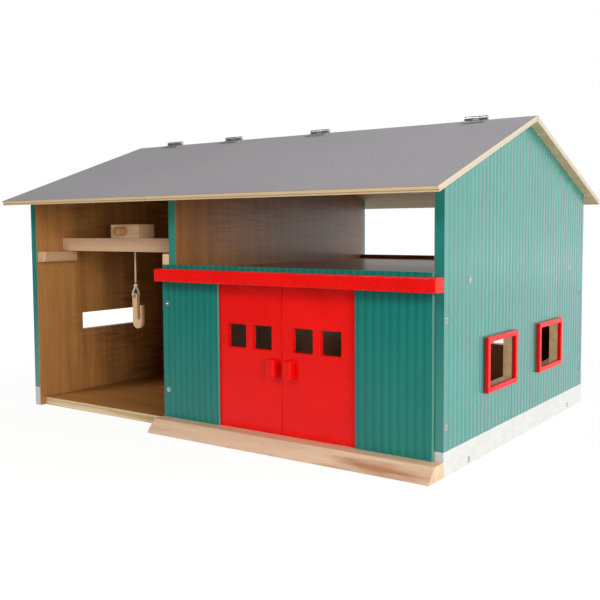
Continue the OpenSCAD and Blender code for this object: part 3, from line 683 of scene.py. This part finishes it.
def ribbed_board(name, axis, outside, inner, seed):
    """outside is the coordinate of the rib crests and inner that of the veneered back."""
    made, tree, point, normal = new_material(name)
    place = add(tree, SPLIT, {0: point}).node.outputs
    painted = add(tree, RANGE, {0: off_back(tree, place[axis], outside, inner),
                                1: PAINT_FROM, 2: PAINT_FULL})
    cloud = add(tree, RANGE, {0: pattern(tree, point, (14, 14, 7), 3), 1: 0.35, 2: 0.65})
    white = add(tree, MIX, {0: cloud, 6: linear(PLINTH_DULL), 7: linear(PLINTH)}, **COLOURS)
    above = add(tree, RANGE, {0: place["Z"], 1: PLINTH_Z - PLINTH_SOFT,
                              2: PLINTH_Z + PLINTH_SOFT})
    paint = add(tree, MIX, {0: above, 6: white, 7: teal_paint(tree, point, seed)}, **COLOURS)
    back, _ = veneer_colour(tree, point, "Z", "Y" if axis == "X" else "X", seed)
    colour = add(tree, MIX, {0: painted, 6: back, 7: paint}, **COLOURS)
    sawn, _ = wood_colour(tree, point, "Y", "#b9946a", "#d9bb92", "#997249", seed)
    colour = add(tree, MIX, {0: window_reveal(tree, place, normal, axis), 6: colour, 7: sawn},
                 **COLOURS)
    coat = add(tree, MATHS, {0: painted, 1: add(tree, RANGE, {0: above, 4: COAT})},
               operation="MULTIPLY")
    painted_surface(tree, point, colour, painted, **{
        "Coat Weight": coat, "Coat Roughness": 0.2, "Specular IOR Level": 0.6})
    return made


left_finish = ribbed_board("ribbed_board_left", "X", -HALF_WIDTH, -HALF_WIDTH + BOARD, 0.7)
right_finish = ribbed_board("ribbed_board_right", "X", HALF_WIDTH, HALF_WIDTH - BOARD, 6.1)
rear_finish = ribbed_board("ribbed_board_rear", "Y", HALF_DEPTH, HALF_DEPTH - BOARD, 2.9)
print("ribbed boards ready")

# %% [markdown]
# The front sheet is thin, and its paint is less shiny. Its back is bare wood, its cut edges are
# only thinly painted, and its grooves are painted a darker teal as painted shade, so they are
# darker than the ribs.

# %% Ribbed sheet
RIB_DEPTH = 0.5 * MM
sheet_finish, tree, point, normal = new_material("ribbed_sheet_front")
along = add(tree, SPLIT, {0: point}, out="Y")
height = off_back(tree, along, -HALF_DEPTH - SHEET, -HALF_DEPTH)
painted = add(tree, RANGE, {0: height, 1: PAINT_FROM, 2: PAINT_FULL})
# Painted shade: the grooves between the ribs are coloured a darker teal than the crests.
painted_groove_shade = add(tree, RANGE, {0: height, 1: SHEET - RIB_DEPTH, 2: SHEET - 0.4 * RIB_DEPTH,
                           3: 0.27, 4: 0})
paint = add(tree, MIX, {0: painted_groove_shade, 6: teal_paint(tree, point, 8.3), 7: linear("#0a4a42")},
            **COLOURS)
back, _ = wood_colour(tree, point, "Z", "#b3936a", "#cdb08a", "#957550", 8.3)
colour = add(tree, MIX, {0: painted, 6: back, 7: paint}, **COLOURS)
facing_out = add(tree, MATHS, {0: add(tree, SPLIT, {0: normal}, out="Y")},
                 operation="ABSOLUTE")
cut = add(tree, RANGE, {0: facing_out, 1: 0.3, 2: 0.5, 3: 1, 4: 0})
colour = add(tree, MIX, {0: cut, 6: colour, 7: linear("#4d9283")}, **COLOURS)
painted_surface(tree, point, colour, painted, **{"Specular IOR Level": 0.3})
print("ribbed sheet ready")

# %% [markdown]
# Red enamel on smooth board: a strong colour with a semi-gloss skin. The roller leaves a faint
# orange peel, a little over a millimetre across, and the red is never quite the same all over.

# %% Red enamel
red_finish, tree, point, _ = new_material("red_enamel_board")
cloud = add(tree, RANGE, {0: pattern(tree, point, (45, 45, 45), 3), 1: 0.3, 2: 0.7})
peel = pattern(tree, point, (1.4, 1.4, 1.4), 2)
red = add(tree, MIX, {0: cloud, 6: linear("#d80703"), 7: linear("#e40c06")}, **COLOURS)
gloss = add(tree, RANGE, {0: peel, 1: 0.3, 2: 0.7, 3: 0.23, 4: 0.32})
surface(tree, red, gloss, peel, 0.03 * MM, 0.3, **{"Specular IOR Level": 0.22})
print("red enamel ready")

# %% [markdown]
# The roof boards are thin plywood under a grey printed laminate with a fine speckle. Their sawn
# edges show the pale plies with a darker glue line between them, greyer at the verges than at
# the eaves, and the underside is bare birch. The plies follow the board's own thickness, so the
# slope's direction picks them out. At this scale of the waves one ply repeats every 3.35 mm.

# %% Roof laminate
PLY_WAVES = 93.75


def roof_board(name, side, seed):
    """side is 1 for the rear slope and -1 for the front one."""
    made, tree, point, normal = new_material(name)
    out = (0, side * math.sin(PITCH), math.cos(PITCH))
    height = add(tree, VECTORS, {0: point, 1: out}, out="Value", operation="DOT_PRODUCT")
    depth = add(tree, MATHS, {0: RIDGE_Z * math.cos(PITCH), 1: height}, operation="SUBTRACT")
    waves = add(tree, "ShaderNodeTexWave", {
        "Vector": add(tree, "ShaderNodeCombineXYZ", {"X": depth}), "Scale": PLY_WAVES,
        "Distortion": 0.0}, out="Fac")
    plies = add(tree, RANGE, {0: waves, 2: 0.35})
    edge = add(tree, MIX, {0: plies, 6: linear("#a07c52"), 7: linear("#cdb48c")}, **COLOURS)
    sideways = add(tree, MATHS, {0: add(tree, SPLIT, {0: normal}, out="X")},
                   operation="ABSOLUTE")
    verge = add(tree, RANGE, {0: sideways, 1: 0.5, 2: 0.8, 4: 0.7})
    edge = add(tree, MIX, {0: verge, 6: edge, 7: linear("#a99f92")}, **COLOURS)
    speck = pattern(tree, point, (0.9, 0.9, 0.9), 2, (seed, 0, 0))
    fine = add(tree, RANGE, {0: speck, 1: 0.35, 2: 0.65})
    grey = add(tree, MIX, {0: fine, 6: linear("#89868a"), 7: linear("#a29fa3")}, **COLOURS)
    cloud = add(tree, RANGE, {0: pattern(tree, point, (120, 60, 60), 3, (seed, 0, 0)),
                              1: 0.3, 2: 0.7, 4: 0.25})
    grey = add(tree, MIX, {0: cloud, 6: grey, 7: linear("#aaa7aa")}, **COLOURS)
    looks_up = add(tree, VECTORS, {0: normal, 1: out}, out="Value", operation="DOT_PRODUCT")
    top = add(tree, RANGE, {0: looks_up, 1: 0.75, 2: 0.9})
    under = add(tree, RANGE, {0: looks_up, 1: -0.9, 2: -0.75, 3: 1, 4: 0})
    birch, _ = wood_colour(tree, point, "X", "#c9a77c", "#e6cfa9", "#a98458", seed)
    colour = add(tree, MIX, {0: top, 6: edge, 7: grey}, **COLOURS)
    colour = add(tree, MIX, {0: under, 6: colour, 7: birch}, **COLOURS)
    roughness = add(tree, RANGE, {0: top, 3: 0.6, 4: 0.42})
    surface(tree, colour, roughness, speck, 0.02 * MM, 0.35)
    return made


rear_roof_finish = roof_board("laminated_plywood_rear", 1, 1.9)
lid_finish = roof_board("laminated_plywood_lids", -1, 7.3)
print("roof laminate ready")

# %% [markdown]
# Hinges and screws are stamped steel with bright zinc plating. Plating follows the metal, so its
# gloss is uneven: a fine noise moves the roughness about a middle value.

# %% Zinc plate
zinc_finish, tree, point, _ = new_material("steel_zinc_plated")
grit = pattern(tree, point, (0.8, 0.3, 0.8), 3)
shade = add(tree, RANGE, {0: grit, 1: 0.3, 2: 0.7})
tint = add(tree, MIX, {0: shade, 6: linear("#9d9e9c"), 7: linear("#c4c5c2")}, **COLOURS)
gloss = add(tree, RANGE, {0: grit, 1: 0.3, 2: 0.7, 3: 0.3, 4: 0.48})
surface(tree, tint, gloss, grit, 0.02 * MM, 0.3, Metallic=1.0)
print("zinc ready")

# %% [markdown]
# Cotton rope is matt and slightly fuzzy: short fibres lie along each strand. The sheen lobe gives
# the soft light edge of a fibrous surface, and a noise four times longer than wide the fibres.

# %% Cotton
cotton_finish, tree, point, _ = new_material("cotton_rope_laid")
fibre = pattern(tree, point, (0.35, 0.35, 1.4), 3)
shade = add(tree, RANGE, {0: fibre, 1: 0.3, 2: 0.7})
tint = add(tree, MIX, {0: shade, 6: linear("#c9b596"), 7: linear("#efe2cc")}, **COLOURS)
surface(tree, tint, 0.88, fibre, 0.06 * MM, 0.6, **{"Sheen Weight": 0.3})
print("cotton ready")

# %% [markdown]
# The rope's pieces are placed last: the turns ride on the winder, the knot and the loop on the
# hook, and the hanging rope stands in for the CAD rope.

# %% Rope bodies
for made, node, body in ((rope_turns, "rope_winding", "winder"),
                         (rope_knot, "rope_knot", "hook"), (rope_loop, "rope_loop", "hook")):
    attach(made, body)
    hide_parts(node)
    pieces[node] = made
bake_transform(hanging_rope)
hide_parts("hoist_rope")
pieces["hoist_rope"] = hanging_rope

# %% [markdown]
# Every node gets its finish. Most go by their name, and the red, zinc plated and cotton ones by
# the material slot that the record gives them.

# %% Finishes onto pieces
FINISHES = {
    "left_gable": left_finish, "right_gable": right_finish, "rear_wall_tall": rear_finish,
    "rear_wall_low": rear_finish, "front_sheet": sheet_finish,
    "floor_board": floor_finish, "loft_floor": floor_finish,
    "partition_wall": partition_finish, "rear_roof": rear_roof_finish,
    "roof_lid_left": lid_finish, "roof_lid_right": lid_finish,
    "threshold": beech_threshold, "left_door_post": beech_z, "right_door_post": beech_z,
    "door_top_guide": beech_x, "crane_cleat_left": beech_cleat_toned_and_shaded, "crane_cleat_right": beech_y,
    "crane_beam": beech_x, "winder_block": beech_x, "winder_shaft": beech_y,
    "winder_knob": beech_peg, "winder_end_disc": beech_x, "crane_hook": beech_z,
}
BY_SLOT = {"red_paint": red_finish, "zinc_plated_steel": zinc_finish,
           "cotton_rope": cotton_finish}
for node, cad_object in frame["nodes"].items():
    shown = pieces.get(node, cad_object)
    finish = FINISHES.get(node) or BY_SLOT[slot_of(node)]
    shown.data.materials.clear()
    shown.data.materials.append(finish)
print("finished", len(frame["nodes"]), "nodes")

# %% [markdown]
# The stage is a plain pale floor in soft studio light. The camera sees floor and world as white,
# and so would glass. Near the barn some of the floor's own shading stays, for the soft shadow.
# Shiny faces see the floor white too, but duller the further it lies in front of the barn, where
# a studio's paper ends. The light that falls on the barn stays at a plain level.

# %% Floor
FLOOR_SIZE = 12.0
WHITE = (1, 1, 1, 1)
bm = bmesh.new()
bmesh.ops.create_grid(bm, x_segments=1, y_segments=1, size=FLOOR_SIZE / 2)
floor_mesh = bpy.data.meshes.new("studio_floor")
bm.to_mesh(floor_mesh)
bm.free()
studio_floor = bpy.data.objects.new("studio_floor", floor_mesh)
bpy.context.scene.collection.objects.link(studio_floor)

paper, tree, place, _ = new_material("studio_paper")
rays = add(tree, "ShaderNodeLightPath").node.outputs
clear_rays = add(tree, MATHS, {0: rays["Is Camera Ray"], 1: rays["Is Transmission Ray"]},
                 operation="MAXIMUM")
away = add(tree, VECTORS, {0: place}, out="Value", operation="LENGTH")
unshaded = add(tree, MATHS, {
    0: clear_rays, 1: add(tree, RANGE, {0: away, 1: 0.4, 2: 1.2, 3: 0.8, 4: 1.0})},
    operation="MULTIPLY")
seen = add(tree, MATHS, {0: unshaded, 1: rays["Is Glossy Ray"]}, operation="MAXIMUM")
depth = add(tree, SPLIT, {0: place}, out="Y")
duller = add(tree, MATHS, {
    0: rays["Is Glossy Ray"], 1: add(tree, RANGE, {0: depth, 1: -1.0, 2: -0.2, 3: 1, 4: 0})},
    operation="MULTIPLY")
strength = add(tree, MATHS, {0: 1.12, 1: duller}, operation="SUBTRACT")
matt = add(tree, "ShaderNodeBsdfDiffuse", {"Color": linear("#cfcfcd")})
bright = add(tree, "ShaderNodeEmission", {"Color": WHITE, "Strength": strength})
mixed = add(tree, "ShaderNodeMixShader", {0: seen, 1: matt, 2: bright})
add(tree, "ShaderNodeOutputMaterial", {"Surface": mixed})
floor_mesh.materials.append(paper)
print("floor ready")

# %% [markdown]
# The world is a pale backdrop behind the barn, which the roof and the right gable mirror, and a
# darker room in front of it. A world has no object, so it reads the ray's own direction.

# %% World
BACKDROP_WAY = (0.4, 0.92, 0.0)
ROOM_LEVEL = 0.1
BACKDROP_LEVEL = 0.7
world = bpy.data.worlds.new("studio")
bpy.context.scene.world = world
world.use_nodes = True
tree = world.node_tree
tree.nodes.clear()
rays = add(tree, "ShaderNodeLightPath").node.outputs
way = add(tree, "ShaderNodeTexCoord", out="Generated")
behind = add(tree, VECTORS, {0: way, 1: BACKDROP_WAY}, out="Value", operation="DOT_PRODUCT")
level = add(tree, RANGE, {0: behind, 1: -0.1, 2: 0.6, 3: ROOM_LEVEL, 4: BACKDROP_LEVEL})
for ray in ("Is Camera Ray", "Is Transmission Ray"):
    level = add(tree, MATHS, {0: rays[ray], 1: level}, operation="MAXIMUM")
sky = add(tree, "ShaderNodeBackground", {"Color": WHITE, "Strength": level})
add(tree, "ShaderNodeOutputWorld", {"Surface": sky})
print("world ready")

# %% [markdown]
# Four soft boxes light the barn. The key light comes from high at the left, the side light
# reaches into the open bay, the right light brightens the gable, and the back light lifts the
# rear. Each is a square area lamp, because its soft edge gives soft shadows.

# %% Lamps


def soft_box(name, place, target, size, power):
    """A square area lamp that looks at a point."""
    data = bpy.data.lights.new(name, "AREA")
    data.shape = "SQUARE"
    data.size = size
    data.energy = power
    lamp = bpy.data.objects.new(name, data)
    lamp.location = place
    aim = Vector(target) - Vector(place)
    lamp.rotation_euler = aim.to_track_quat("-Z", "Y").to_euler()
    bpy.context.scene.collection.objects.link(lamp)


soft_box("key_light", (-0.9, -1.9, 1.7), (0, 0, 0.15), size=0.7, power=31)
soft_box("side_light", (2.0, -1.25, 0.55), (0.1, -0.1, 0.12), size=1.2, power=46)
soft_box("right_light", (2.2, 0.5, 0.7), (0.26, 0, 0.12), size=1.2, power=26)
soft_box("back_light", (1.3, 2.4, 0.9), (0.26, 0, 0.12), size=2.6, power=9)
bpy.context.scene.view_settings.view_transform = "Standard"
print("lamps ready")
